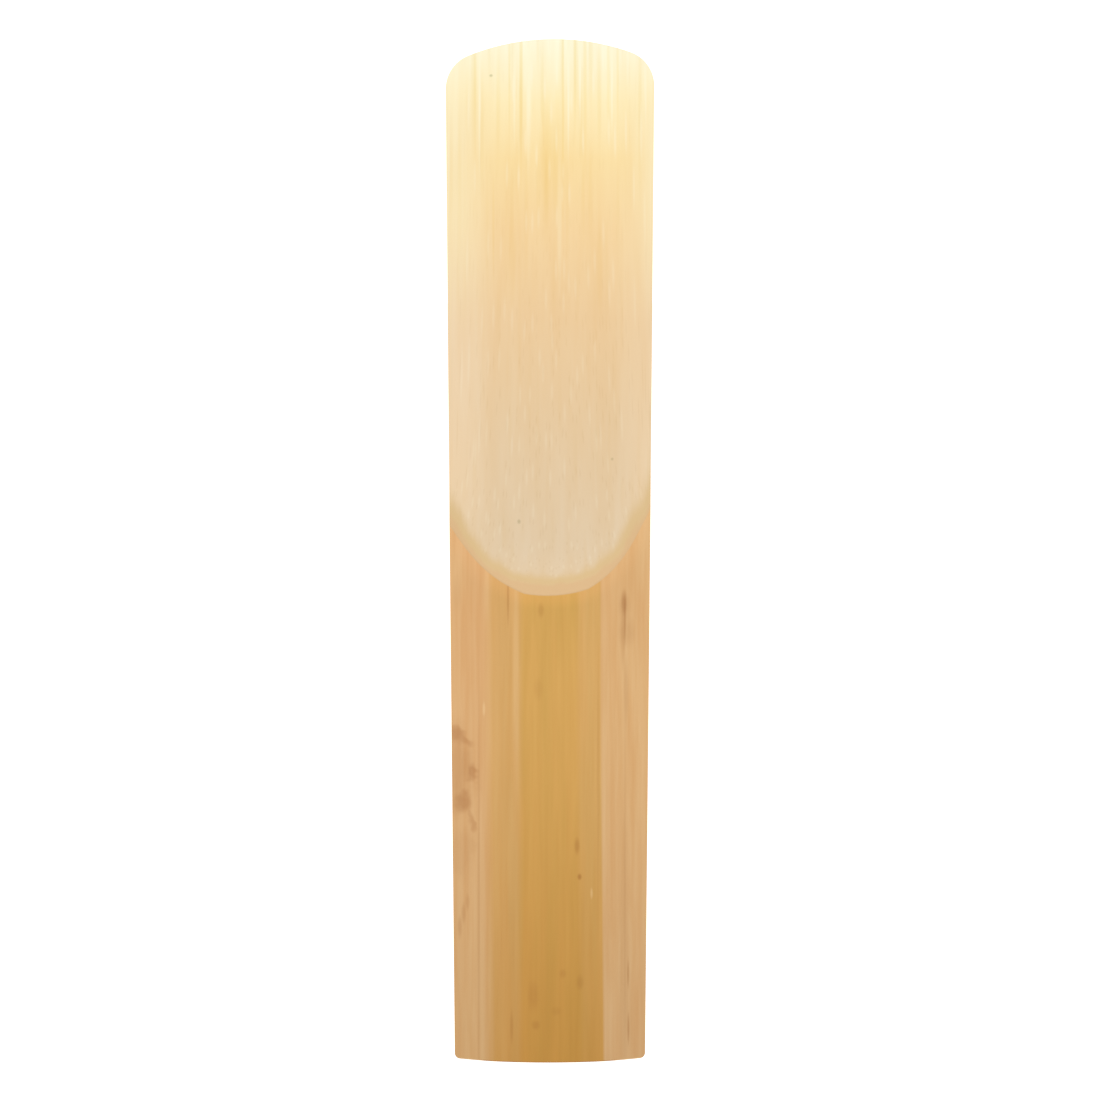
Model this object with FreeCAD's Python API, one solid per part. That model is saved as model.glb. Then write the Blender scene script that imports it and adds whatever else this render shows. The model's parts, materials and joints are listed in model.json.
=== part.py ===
import FreeCAD
import Part

import math
import os

from FreeCAD import Vector

# A tenor saxophone reed, cut from the wall of a cane tube.
# It lies on its flat table. X runs across it, Y from the heel to the tip, and Z up through the bark.
# The origin is in the table, halfway along and in the middle. All sizes are in millimetres.

# Outline seen from above
length = 80.0
tip_width = 16.5
heel_width = 14.9
tip_arc_radius = 18.0
tip_arc_offset = 0.33
tip_corner_radius = 2.8
heel_corner_radius = 0.4

# Cane tube that the blank is split from, and the layers of its wall from the outside in
stock_thickness = 3.3
cane_radius = 16.0
cane_axis_offset = -0.16
bark_depth = 0.08
cortex_depth = 0.25
fibre_ring_depth = 0.21

# Fibre bundles that run the length of the inner cane, in rings about the tube's axis that thin out inwards
bundle_diameter = 0.26
bundle_first_depth = 0.8
bundle_ring_spacing = 0.55
bundle_spacing = 1.05
bundle_spread_share = 0.1
bundle_cover = 0.1
bundle_side_count = 8
shortest_bundle = 1.0

# Shavings planed off both sides of the stock, which leave a slightly rounded face.
# Their edges are measured from the centre line, and their depths down from the bark at the reed's sides.
left_shaving_front = 2.0
left_shaving_heel = 4.4
left_shaving_depth = 0.25
left_face_radius = 22.4
right_shaving_front = 3.0
right_shaving_heel = 4.2
right_shaving_depth = 0.295
right_face_radius = 20.0

# Vamp, the scraped face: a blade that thins to the tip, then a ramp up to the bark.
# The blade's thicknesses are set at fixed distances behind the tip, as reed makers measure them.
vamp_length = 43.7
tip_thickness = 0.10
tip_side_thickness = 0.09
heart_distance = 20.0
heart_thickness = 1.05
shoulder_distance = 37.5
shoulder_thickness = 2.07
shoulder_side_thickness = 0.45
centre_ramp_radius = 12.0
side_ramp_setback = 11.0
side_ramp_radius = 29.3

# Part of the blade that a mouthpiece's curved facing leaves free to bend, and its flex lines
facing_length = 25.0
flex_line_count = 3

# Modelling allowances
overrun = 2.0
vamp_row_count = 24
vamp_column_count = 7


def from_tip(distance):
    """Y of a place that many millimetres behind the tip."""
    return length / 2 - distance


def corner_edges(prism, end):
    """The prism's upright edges at one end: end is 1 at the tip and -1 at the heel."""
    upright = [e for e in prism.Edges if abs(e.Vertexes[0].Z - e.Vertexes[-1].Z) > stock_thickness]
    return [e for e in upright if e.CenterOfMass.y * end > 0]


def tip_edge_y(x):
    """Y of the tip's arched edge at that place across the reed."""
    return length / 2 - tip_arc_radius + math.sqrt(tip_arc_radius**2 - (x - tip_arc_offset) ** 2)


def blank_prism():
    """The outline raised to a prism: tapered sides, an arched tip and softened corners."""
    heel_left = Vector(-heel_width / 2, -length / 2, 0)
    heel_right = Vector(heel_width / 2, -length / 2, 0)
    tip_right = Vector(tip_width / 2, tip_edge_y(tip_width / 2), 0)
    tip_left = Vector(-tip_width / 2, tip_edge_y(-tip_width / 2), 0)
    outline = Part.Wire(
        [
            Part.LineSegment(heel_left, heel_right).toShape(),
            Part.LineSegment(heel_right, tip_right).toShape(),
            Part.Arc(tip_right, Vector(tip_arc_offset, length / 2, 0), tip_left).toShape(),
            Part.LineSegment(tip_left, heel_left).toShape(),
        ]
    )
    prism = Part.Face(outline).extrude(Vector(0, 0, stock_thickness + overrun))
    prism = prism.makeFillet(heel_corner_radius, corner_edges(prism, -1))
    return prism.makeFillet(tip_corner_radius, corner_edges(prism, 1))


def cane_inside(depth):
    """Everything inside the tube's wall at that depth below the bark."""
    start = Vector(cane_axis_offset, -length / 2 - overrun, stock_thickness - cane_radius)
    return Part.makeCylinder(cane_radius - depth, length + 2 * overrun, start, Vector(0, 1, 0))


def bark_height(x):
    """Height of the bark above the table at that place across the reed."""
    return stock_thickness - cane_radius + math.sqrt(cane_radius**2 - (x - cane_axis_offset) ** 2)


def half_width(y):
    """Half the reed's width at that place along it, where the sides are straight."""
    share = (y + length / 2) / length
    return (heel_width + (tip_width - heel_width) * share) / 2


def side_shaving(side, front_edge, heel_edge, depth, face_radius):
    """The cane that planing one side takes off: side is 1 on the right and -1 on the left."""
    bark_front = from_tip(vamp_length)
    edge_slope = (front_edge - heel_edge) / (bark_front + length / 2)
    halfway = (bark_front - length / 2) / 2
    top_z = stock_thickness + overrun
    sections = []
    for y in (-length / 2 - overrun, halfway, bark_front, length / 2 + overrun):
        edge_x = side * (heel_edge + edge_slope * (y + length / 2))
        rim_x = side * half_width(y)
        outer_x = rim_x + side * overrun
        edge_point = Vector(edge_x, y, bark_height(edge_x))
        rim_point = Vector(rim_x, y, bark_height(rim_x) - depth)
        chord = rim_point - edge_point
        to_axis = math.sqrt(face_radius**2 - (chord.Length / 2) ** 2)
        inward = Vector(chord.z, 0, -chord.x).normalize() * side
        face_axis = (edge_point + rim_point) * 0.5 + inward * to_axis
        outer_z = face_axis.z + math.sqrt(face_radius**2 - (outer_x - face_axis.x) ** 2)
        outer_point = Vector(outer_x, y, outer_z)
        outer_top = Vector(outer_x, y, top_z)
        edge_top = Vector(edge_x, y, top_z)
        sections.append(
            Part.Wire(
                [
                    Part.Arc(edge_point, rim_point, outer_point).toShape(),
                    Part.LineSegment(outer_point, outer_top).toShape(),
                    Part.LineSegment(outer_top, edge_top).toShape(),
                    Part.LineSegment(edge_top, edge_point).toShape(),
                ]
            )
        )
    return Part.makeLoft(sections, True, True)


def blade_thickness(distance):
    """Centre thickness that a gentle parabola gives through the tip, the heart and the shoulder."""
    heart_rise = (heart_thickness - tip_thickness) / heart_distance
    shoulder_rise = (shoulder_thickness - tip_thickness) / shoulder_distance
    bend = (shoulder_rise - heart_rise) / (shoulder_distance - heart_distance)
    slope = heart_rise - bend * heart_distance
    return tip_thickness + slope * distance + bend * distance**2


def ramp_rise(distance, start, radius):
    """Height that a ramp of that radius has gained by that distance."""
    return max(distance - start, 0) ** 2 / (2 * radius)


def centre_thickness(distance):
    """Thickness on the centre line, which reaches the bark at the end of the vamp."""
    missing = stock_thickness - blade_thickness(vamp_length)
    start = vamp_length - math.sqrt(2 * centre_ramp_radius * missing)
    return blade_thickness(distance) + ramp_rise(distance, start, centre_ramp_radius)


def side_thickness(distance):
    """Thickness along the rails, half a tip's width from the centre line."""
    slope = (shoulder_side_thickness - tip_side_thickness) / shoulder_distance
    ramp = ramp_rise(distance, vamp_length - side_ramp_setback, side_ramp_radius)
    return tip_side_thickness + slope * distance + ramp


def vamp_height(x, distance):
    """Height of the scraped face: crowned like a low arch from rail to rail."""
    side = side_thickness(distance)
    crown = 1 - (2 * x / tip_width) ** 2
    return side + (centre_thickness(distance) - side) * crown


def vamp_waste():
    """The cane above the scraped face, which the cutter takes off."""
    reach = tip_width / 2 + overrun
    far_end = vamp_length + overrun
    rows = []
    for row in range(vamp_row_count):
        distance = -overrun + (far_end + overrun) * row / (vamp_row_count - 1)
        line = []
        for column in range(vamp_column_count):
            x = reach * (2 * column / (vamp_column_count - 1) - 1)
            line.append(Vector(x, from_tip(distance), vamp_height(x, distance)))
        rows.append(line)
    surface = Part.BSplineSurface()
    surface.interpolate(rows)
    return surface.toShape().extrude(Vector(0, 0, 2 * stock_thickness))


def slab(front, back):
    """Everything between two distances from the tip."""
    width = tip_width + 2 * overrun
    corner = Vector(-width / 2, from_tip(back), -overrun)
    return Part.makeBox(width, back - front, stock_thickness + 2 * overrun, corner)


def flex_lines():
    """Distances from the tip of the lines that the blade bends at, from the root forward."""
    spacing = facing_length / flex_line_count
    return [facing_length - spacing * (line + 0.5) for line in range(flex_line_count)]


def whole_reed():
    """The finished outside of the reed as one solid."""
    reed = blank_prism().common(cane_inside(0))
    left = side_shaving(-1, left_shaving_front, left_shaving_heel, left_shaving_depth, left_face_radius)
    right = side_shaving(1, right_shaving_front, right_shaving_heel, right_shaving_depth, right_face_radius)
    reed = reed.cut(left).cut(right)
    return reed.cut(vamp_waste())


def bundle_ring_places(ring):
    """X and Z of the bundles in one ring about the tube's axis; every second ring is shifted by half a space."""
    axis_z = stock_thickness - cane_radius
    radius = cane_radius - bundle_first_depth - ring * bundle_ring_spacing
    turn = bundle_spacing * (1 + bundle_spread_share * ring) / radius
    steps = math.ceil(heel_width / bundle_spacing)
    places = []
    for step in range(-steps, steps + 1):
        angle = turn * (step + (ring % 2) / 2)
        places.append((cane_axis_offset + radius * math.sin(angle), axis_z + radius * math.cos(angle)))
    return places


def bundle_rod(x, z):
    """One fibre bundle as a straight many-sided rod along the cane, longer than the reed."""
    corners = []
    for side in range(bundle_side_count + 1):
        angle = 2 * math.pi * side / bundle_side_count
        across = bundle_diameter / 2 * math.cos(angle)
        up = bundle_diameter / 2 * math.sin(angle)
        corners.append(Vector(x + across, -length / 2 - overrun, z + up))
    return Part.Face(Part.makePolygon(corners)).extrude(Vector(0, length + 2 * overrun, 0))


def bundle_rods():
    """The fibre bundles that the stock holds whole."""
    keep_out = bundle_diameter / 2 + bundle_cover
    ring_count = math.ceil((stock_thickness - bundle_first_depth) / bundle_ring_spacing)
    rods = []
    for ring in range(ring_count):
        for x, z in bundle_ring_places(ring):
            if z > keep_out and abs(x) < heel_width / 2 - keep_out:
                rods.append(bundle_rod(x, z))
    return Part.makeCompound(rods)


def split_bundles(cane, rods):
    """A stretch of the inner cane without its fibre bundles, and the bundles as one group of solids."""
    bundles = [b for b in cane.common(rods).Solids if b.optimalBoundingBox().YLength > shortest_bundle]
    group = Part.makeCompound(bundles)
    return cane.cut(group), group


def build():
    """Every piece of the reed by name."""
    reed = whole_reed()
    lines = flex_lines()
    root = reed.common(slab(lines[0], length + overrun))
    under_bark = cane_inside(bark_depth)
    under_cortex = cane_inside(bark_depth + cortex_depth)
    inner = cane_inside(bark_depth + cortex_depth + fibre_ring_depth)
    rods = bundle_rods()
    stock_core, stock_bundles = split_bundles(root.common(inner), rods)
    heart, heart_bundles = split_bundles(reed.common(slab(lines[1], lines[0])), rods)
    blade, blade_bundles = split_bundles(reed.common(slab(lines[2], lines[1])), rods)
    return {
        "bark": root.cut(under_bark),
        "cortex": root.common(under_bark).cut(under_cortex),
        "fibre_ring": root.common(under_cortex).cut(inner),
        "stock_core": stock_core,
        "stock_bundles": stock_bundles,
        "heart": heart,
        "heart_bundles": heart_bundles,
        "blade": blade,
        "blade_bundles": blade_bundles,
        "tip": reed.common(slab(-overrun, lines[2])),
    }


def export(pieces):
    """Writes each piece to its own file and prints its size."""
    os.makedirs("parts", exist_ok=True)
    for name, shape in pieces.items():
        shape.exportStep(f"parts/{name}.step")
        box = shape.optimalBoundingBox()
        print(
            f"{name}: {len(shape.Solids)} solid(s), volume {shape.Volume:.2f} mm3, "
            f"{box.XLength:.2f} x {box.YLength:.2f} x {box.ZLength:.2f} mm, valid {shape.isValid()}"
        )


export(build())
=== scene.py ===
# %% [markdown]
# # A tenor saxophone reed
# A reed is one slip of cane, split from the wall of a dried tube, planed flat underneath and scraped to a
# thin blade on top. Nothing is glued or screwed to it. What looks like several parts is the wall of the
# tube, cut open layer by layer: the waxy bark, the tough cortex under it, a ring of dense fibre, and the
# soft inner cane with its fibre bundles.
#
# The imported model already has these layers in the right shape, so this lesson keeps them and gives them
# their finish. It makes new meshes only for the thin blade, because the blade bends.

# %% Load the frame
import json
import math

import bpy
import numpy as np
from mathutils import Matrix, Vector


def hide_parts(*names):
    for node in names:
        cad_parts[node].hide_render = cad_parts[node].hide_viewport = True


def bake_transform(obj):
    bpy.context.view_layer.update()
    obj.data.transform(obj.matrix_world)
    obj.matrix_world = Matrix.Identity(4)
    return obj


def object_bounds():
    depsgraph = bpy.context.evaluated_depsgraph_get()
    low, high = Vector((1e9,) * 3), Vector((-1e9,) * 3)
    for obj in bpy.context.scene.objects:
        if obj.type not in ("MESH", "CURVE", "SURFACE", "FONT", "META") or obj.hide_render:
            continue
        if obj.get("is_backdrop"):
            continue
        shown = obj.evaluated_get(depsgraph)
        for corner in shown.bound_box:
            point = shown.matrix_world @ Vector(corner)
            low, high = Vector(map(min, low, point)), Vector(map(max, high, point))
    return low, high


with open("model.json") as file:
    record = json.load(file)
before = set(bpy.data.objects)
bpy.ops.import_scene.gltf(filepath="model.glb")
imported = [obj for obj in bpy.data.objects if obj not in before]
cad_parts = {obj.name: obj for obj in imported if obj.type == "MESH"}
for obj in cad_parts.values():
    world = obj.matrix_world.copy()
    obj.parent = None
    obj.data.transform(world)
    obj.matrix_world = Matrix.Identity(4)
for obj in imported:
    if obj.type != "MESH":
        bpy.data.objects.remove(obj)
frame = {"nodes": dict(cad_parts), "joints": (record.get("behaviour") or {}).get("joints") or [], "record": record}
cad_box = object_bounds()
nodes = frame["nodes"]
print("nodes of the frame:", ", ".join(sorted(nodes)))

# %% [markdown]
# ## Sizes
# Blender works in metres, and a reed is easier to think about in millimetres. So each size below is in
# millimetres, as a reed maker would give it, and is turned to metres only where a mesh or an object is made.

# %% Sizes of the reed in millimetres
MM = 0.001
LENGTH = 80.0
TIP_WIDTH = 16.5
HEEL_WIDTH = 14.9
STOCK_THICKNESS = 3.3
CANE_RADIUS = 16.0
CANE_AXIS_OFFSET = -0.16
print(f"the reed is {LENGTH} mm long and {TIP_WIDTH} mm wide at the tip")

# %% [markdown]
# ## The camera
# The photograph looks straight down. Its heel edge bows a little, which is perspective: the crown of the
# stock is nearer to the lens than its low sides are. That bow tells how high the camera stands, and the
# length of the reed in the picture tells how much its frame takes in.

# %% Place the camera
CAMERA_HEIGHT = 230.0
CAMERA_ALONG = -0.22
FRAME_WIDTH = 86.6
SENSOR_WIDTH = 36.0
CLIP_START = 5.0

camera_data = bpy.data.cameras.new("camera")
camera_data.sensor_width = SENSOR_WIDTH
camera_data.lens = SENSOR_WIDTH * CAMERA_HEIGHT / FRAME_WIDTH
camera_data.clip_start = CLIP_START * MM
camera = bpy.data.objects.new("camera", camera_data)
camera.location = (0, CAMERA_ALONG * MM, CAMERA_HEIGHT * MM)
bpy.context.scene.collection.objects.link(camera)
bpy.context.scene.camera = camera
bpy.context.scene.view_settings.view_transform = "Standard"
print(f"lens {camera_data.lens:.1f} mm, {CAMERA_HEIGHT:.0f} mm above the table")

# %% [markdown]
# ## The light
# A reed is photographed in a white light tent: light comes from all round, and a softbox on one side adds
# a little direction, so that the crown of the stock and the ramp still read as curved. A world of plain
# white is the tent, and one large area light is the softbox.

# %% Light the scene
TENT_STRENGTH = 0.8
SOFTBOX_SIZE = 300.0
SOFTBOX_PLACE = (30.0, 260.0, 330.0)
SOFTBOX_POWER = 0.55

world = bpy.data.worlds.new("light tent")
world.use_nodes = True
world.node_tree.nodes["Background"].inputs["Color"].default_value = (1, 1, 1, 1)
world.node_tree.nodes["Background"].inputs["Strength"].default_value = TENT_STRENGTH
bpy.context.scene.world = world

softbox_light = bpy.data.lights.new("softbox", "AREA")
softbox_light.size = SOFTBOX_SIZE * MM
softbox_light.energy = SOFTBOX_POWER
softbox = bpy.data.objects.new("softbox", softbox_light)
softbox.location = [c * MM for c in SOFTBOX_PLACE]
softbox.rotation_euler = (-softbox.location).to_track_quat("-Z", "Y").to_euler()
bpy.context.scene.collection.objects.link(softbox)
print("tent strength", TENT_STRENGTH, "softbox power", SOFTBOX_POWER)

# %% [markdown]
# ## Small tools for node trees
# Every finish below is built from shader nodes in code. These few helpers keep that code short: one feeds a
# socket with a number or with another node, and the others add one kind of node each.

# %% Helpers for shader nodes
def tone(red, green, blue):
    """A colour as a screen shows it, from 0 to 255, in the linear light that shaders work in."""
    shares = [c / 255 for c in (red, green, blue)]
    return (*[s / 12.92 if s <= 0.04045 else ((s + 0.055) / 1.055) ** 2.4 for s in shares], 1.0)


def feed(tree, socket, value):
    """Gives a socket its value: from another socket, or as a plain number, vector or colour."""
    if isinstance(value, bpy.types.NodeSocket):
        tree.links.new(value, socket)
    else:
        socket.default_value = value


def sum_node(tree, operation, *values):
    """One step of arithmetic on values."""
    node = tree.nodes.new("ShaderNodeMath")
    node.operation = operation
    for socket, value in zip(node.inputs, values):
        feed(tree, socket, value)
    return node.outputs["Value"]


def scaled(tree, value, scale, base):
    """The value times a scale, on top of a base."""
    return sum_node(tree, "MULTIPLY_ADD", value, scale, base)


def inverse(tree, mask):
    """The mask turned round: 1 where it was 0."""
    return sum_node(tree, "SUBTRACT", 1.0, mask)


def fade(tree, value, start, end):
    """0 before start, 1 after end, and a smooth rise between them."""
    node = tree.nodes.new("ShaderNodeMapRange")
    node.interpolation_type = "SMOOTHSTEP"
    feed(tree, node.inputs["Value"], value)
    feed(tree, node.inputs["From Min"], start)
    feed(tree, node.inputs["From Max"], end)
    return node.outputs["Result"]


def mix_colour(tree, amount, first, second, how="MIX"):
    """The first colour, going over to the second as the amount goes from 0 to 1."""
    node = tree.nodes.new("ShaderNodeMix")
    node.data_type = "RGBA"
    node.blend_type = how
    feed(tree, node.inputs["Factor"], amount)
    feed(tree, node.inputs[6], first)
    feed(tree, node.inputs[7], second)
    return node.outputs[2]


def join_vector(tree, x, y, z):
    """Three values as one vector."""
    node = tree.nodes.new("ShaderNodeCombineXYZ")
    for socket, value in zip(node.inputs, (x, y, z)):
        feed(tree, socket, value)
    return node.outputs["Vector"]


def new_group(name, inputs, outputs):
    """An empty node group with named sockets, and its input and output nodes."""
    kinds = {"value": "NodeSocketFloat", "vector": "NodeSocketVector", "colour": "NodeSocketColor"}
    group = bpy.data.node_groups.new(name, "ShaderNodeTree")
    for socket_name, kind in inputs.items():
        group.interface.new_socket(name=socket_name, in_out="INPUT", socket_type=kinds[kind])
    for socket_name, kind in outputs.items():
        group.interface.new_socket(name=socket_name, in_out="OUTPUT", socket_type=kinds[kind])
    return group, group.nodes.new("NodeGroupInput"), group.nodes.new("NodeGroupOutput")


def use_group(tree, group, values):
    """Places a node group in a tree, with its own values, and gives its outputs by name."""
    node = tree.nodes.new("ShaderNodeGroup")
    node.node_tree = group
    for socket_name, value in values.items():
        feed(tree, node.inputs[socket_name], value)
    return node.outputs


print("helpers ready")

# %% [markdown]
# ## Where a point lies in the cane
# All the colours of a reed follow from two facts about a point: how far it is behind the tip, and how deep
# it lies under the bark of the tube it was cut from. The tube was a cylinder, so its depth is the distance
# from the tube's axis. This group works both out from the place of the point in the resting reed.

# %% Node group: place in the cane
place_group, place_in, place_out = new_group(
    "place in the cane",
    {"Place": "vector"},
    {"Across": "value", "Behind Tip": "value", "Height": "value", "Under Bark": "value"},
)
split_place = place_group.nodes.new("ShaderNodeSeparateXYZ")
place_group.links.new(place_in.outputs["Place"], split_place.inputs[0])
across_mm = sum_node(place_group, "DIVIDE", split_place.outputs["X"], MM)
along_mm = sum_node(place_group, "DIVIDE", split_place.outputs["Y"], MM)
height_mm = sum_node(place_group, "DIVIDE", split_place.outputs["Z"], MM)
from_axis = join_vector(
    place_group,
    sum_node(place_group, "SUBTRACT", across_mm, CANE_AXIS_OFFSET),
    0.0,
    sum_node(place_group, "SUBTRACT", height_mm, STOCK_THICKNESS - CANE_RADIUS),
)
axis_distance = place_group.nodes.new("ShaderNodeVectorMath")
axis_distance.operation = "LENGTH"
place_group.links.new(from_axis, axis_distance.inputs[0])
feed(place_group, place_out.inputs["Across"], across_mm)
feed(place_group, place_out.inputs["Behind Tip"], sum_node(place_group, "SUBTRACT", LENGTH / 2, along_mm))
feed(place_group, place_out.inputs["Height"], height_mm)
feed(
    place_group,
    place_out.inputs["Under Bark"],
    sum_node(place_group, "SUBTRACT", CANE_RADIUS, axis_distance.outputs["Value"]),
)
print("group:", place_group.name)

# %% [markdown]
# ## The scraped face
# The vamp is a long slope that thins to the tip and ends in a steep ramp under the bark. It is crowned: the
# middle is thicker than the two rails. The same rule gives the mesh of the blade below and, here, tells a
# shader which points lie on the scraped face. Everything above the rule has been scraped away, so a point
# that is just on it is on the scraped face, and a point well below it is on the stock, a side or the table.

# %% The rule of the vamp, in millimetres
CENTRE_START, CENTRE_SLOPE, CENTRE_BEND = 0.10, 0.04175, 0.0002876
SIDE_START, SIDE_SLOPE = 0.09, 0.0096
CENTRE_RAMP_FROM, CENTRE_RAMP_RADIUS = 39.245, 12.0
SIDE_RAMP_FROM, SIDE_RAMP_RADIUS = 32.7, 29.3


def vamp_height(across, behind_tip):
    """Height of the scraped face over the table."""
    centre_ramp = np.maximum(behind_tip - CENTRE_RAMP_FROM, 0) ** 2 / (2 * CENTRE_RAMP_RADIUS)
    side_ramp = np.maximum(behind_tip - SIDE_RAMP_FROM, 0) ** 2 / (2 * SIDE_RAMP_RADIUS)
    centre = CENTRE_START + CENTRE_SLOPE * behind_tip + CENTRE_BEND * behind_tip**2 + centre_ramp
    side = SIDE_START + SIDE_SLOPE * behind_tip + side_ramp
    return side + (centre - side) * (1 - (2 * across / TIP_WIDTH) ** 2)


for zone, distance in (("tip", 0.0), ("heart", 20.0)):
    print(f"thickness at the {zone}: {vamp_height(0, distance):.2f} mm")

# %% Node group: scraped face
face_group, face_in, face_out = new_group(
    "scraped face",
    {"Across": "value", "Behind Tip": "value", "Height": "value"},
    {"Below Face": "value", "Scraped": "value"},
)


def ramp_nodes(tree, behind_tip, start, radius):
    """The ramp's part of the height, as nodes."""
    past = sum_node(tree, "MAXIMUM", sum_node(tree, "SUBTRACT", behind_tip, start), 0.0)
    return sum_node(tree, "DIVIDE", sum_node(tree, "POWER", past, 2.0), 2 * radius)


behind = face_in.outputs["Behind Tip"]
bend_part = scaled(face_group, behind, CENTRE_BEND, CENTRE_SLOPE)
straight_centre = scaled(face_group, bend_part, behind, CENTRE_START)
centre_ramp = ramp_nodes(face_group, behind, CENTRE_RAMP_FROM, CENTRE_RAMP_RADIUS)
centre_height = sum_node(face_group, "ADD", straight_centre, centre_ramp)
straight_side = scaled(face_group, behind, SIDE_SLOPE, SIDE_START)
side_ramp = ramp_nodes(face_group, behind, SIDE_RAMP_FROM, SIDE_RAMP_RADIUS)
side_height = sum_node(face_group, "ADD", straight_side, side_ramp)
edge_share = sum_node(face_group, "DIVIDE", face_in.outputs["Across"], TIP_WIDTH / 2)
crown = inverse(face_group, sum_node(face_group, "POWER", edge_share, 2.0))
crown_rise = sum_node(face_group, "SUBTRACT", centre_height, side_height)
face_height = scaled(face_group, crown_rise, crown, side_height)
print("group:", face_group.name)

# %% Its outputs: how far a point is below the face, and the mask of the face
# A point is on the face down to the first of these depths, and off it from the second.
FACE_DEPTH = (0.015, 0.05)
below_face = sum_node(face_group, "SUBTRACT", face_height, face_in.outputs["Height"])
off_face = fade(face_group, below_face, *FACE_DEPTH)
feed(face_group, face_out.inputs["Below Face"], below_face)
feed(face_group, face_out.inputs["Scraped"], inverse(face_group, off_face))
print("the scraped face reaches", FACE_DEPTH[0], "mm below its rule")

# %% [markdown]
# ## Grain
# Cane fibres run dead straight along the reed, so every unevenness is drawn out lengthwise. Noise that is
# stretched a lot along the reed gives that grain. Its value swings about zero, so a finish can be made
# lighter and darker by it in equal parts.

# %% Node group: lengthwise grain
grain_group, grain_in, grain_out = new_group(
    "lengthwise grain",
    {"Place": "vector", "Lines": "value", "Stretch": "value", "Seed": "value"},
    {"Value": "value"},
)
split_grain = grain_group.nodes.new("ShaderNodeSeparateXYZ")
grain_group.links.new(grain_in.outputs["Place"], split_grain.inputs[0])
lines_per_metre = sum_node(grain_group, "DIVIDE", grain_in.outputs["Lines"], MM)
slow = sum_node(grain_group, "DIVIDE", lines_per_metre, grain_in.outputs["Stretch"])
seeded = scaled(grain_group, split_grain.outputs["X"], lines_per_metre, grain_in.outputs["Seed"])
grain_place = join_vector(
    grain_group,
    seeded,
    sum_node(grain_group, "MULTIPLY", split_grain.outputs["Y"], slow),
    sum_node(grain_group, "MULTIPLY", split_grain.outputs["Z"], lines_per_metre),
)
GRAIN_DETAIL = 2.0
GRAIN_ROUGHNESS = 0.55
GRAIN_SWING = 4.0
grain_noise = grain_group.nodes.new("ShaderNodeTexNoise")
grain_noise.inputs["Scale"].default_value = 1.0
grain_noise.inputs["Detail"].default_value = GRAIN_DETAIL
grain_noise.inputs["Roughness"].default_value = GRAIN_ROUGHNESS
grain_group.links.new(grain_place, grain_noise.inputs["Vector"])
centred = sum_node(grain_group, "SUBTRACT", grain_noise.outputs["Fac"], 0.5)
feed(grain_group, grain_out.inputs["Value"], sum_node(grain_group, "MULTIPLY", centred, GRAIN_SWING))
print("group:", grain_group.name)


def grain(tree, place, lines, stretch, seed):
    """Grain with that many lines to a millimetre, each drawn out that many times."""
    values = {"Place": place, "Lines": lines, "Stretch": stretch, "Seed": seed}
    return use_group(tree, grain_group, values)["Value"]


# %% [markdown]
# ## Cut fibres
# The bundles are straight rods inside the cane. Where a cut runs almost along them, each shows as a long
# streak; where the cut slopes more, the streak becomes a short lens; and where the saw crosses them at the
# heel, it is a dot. All three come from one solid texture: cells in the cross-section of the cane that do
# not change along it. The shape of the cut does the rest.

# %% Node group: cut fibres
fibre_group, fibre_in, fibre_out = new_group(
    "cut fibres",
    {"Across": "value", "Behind Tip": "value", "Height": "value", "Spacing": "value", "Size": "value",
     "Flatness": "value", "Share": "value", "Seed": "value"},
    {"Mask": "value"},
)
WANDER = 0.12
WANDER_WIDTH = 2.0
WANDER_LENGTH = 30.0
wander_noise = fibre_group.nodes.new("ShaderNodeTexNoise")
wander_noise.inputs["Scale"].default_value = 1.0
wander_noise.inputs["Detail"].default_value = 0.0
wander_place = join_vector(
    fibre_group,
    sum_node(fibre_group, "DIVIDE", fibre_in.outputs["Across"], WANDER_WIDTH),
    sum_node(fibre_group, "DIVIDE", fibre_in.outputs["Behind Tip"], WANDER_LENGTH),
    0.0,
)
fibre_group.links.new(wander_place, wander_noise.inputs["Vector"])
wander = sum_node(fibre_group, "MULTIPLY", wander_noise.outputs["Fac"], WANDER)
wandered = sum_node(fibre_group, "ADD", fibre_in.outputs["Across"], wander)
cells_across = sum_node(fibre_group, "DIVIDE", wandered, fibre_in.outputs["Spacing"])
cells_up = sum_node(fibre_group, "DIVIDE", fibre_in.outputs["Height"], fibre_in.outputs["Spacing"])
section_place = join_vector(
    fibre_group,
    sum_node(fibre_group, "ADD", cells_across, fibre_in.outputs["Seed"]),
    sum_node(fibre_group, "MULTIPLY", cells_up, fibre_in.outputs["Flatness"]),
    0.0,
)
cells = fibre_group.nodes.new("ShaderNodeTexVoronoi")
cells.voronoi_dimensions = "2D"
cells.inputs["Scale"].default_value = 1.0
fibre_group.links.new(section_place, cells.inputs["Vector"])
print("group:", fibre_group.name)

# %% Its mask: the chosen share of the cells, out to the size of a fibre
FIBRE_CORE = 0.2
cell_colour = fibre_group.nodes.new("ShaderNodeSeparateColor")
fibre_group.links.new(cells.outputs["Color"], cell_colour.inputs[0])
chosen = sum_node(fibre_group, "LESS_THAN", cell_colour.outputs["Red"], fibre_in.outputs["Share"])
reach = sum_node(fibre_group, "DIVIDE", fibre_in.outputs["Size"], fibre_in.outputs["Spacing"])
core = sum_node(fibre_group, "MULTIPLY", reach, FIBRE_CORE)
outside = fade(fibre_group, cells.outputs["Distance"], core, reach)
inside = inverse(fibre_group, outside)
feed(fibre_group, fibre_out.inputs["Mask"], sum_node(fibre_group, "MULTIPLY", inside, chosen))
print("a fibre is solid to", FIBRE_CORE, "of its size and fades out from there")

# %% [markdown]
# ## Marks
# Real cane has a few marks of its own: pinprick specks, a water stain, dark lines. Each is a soft oval at a
# named place, so one group makes them all.

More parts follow.
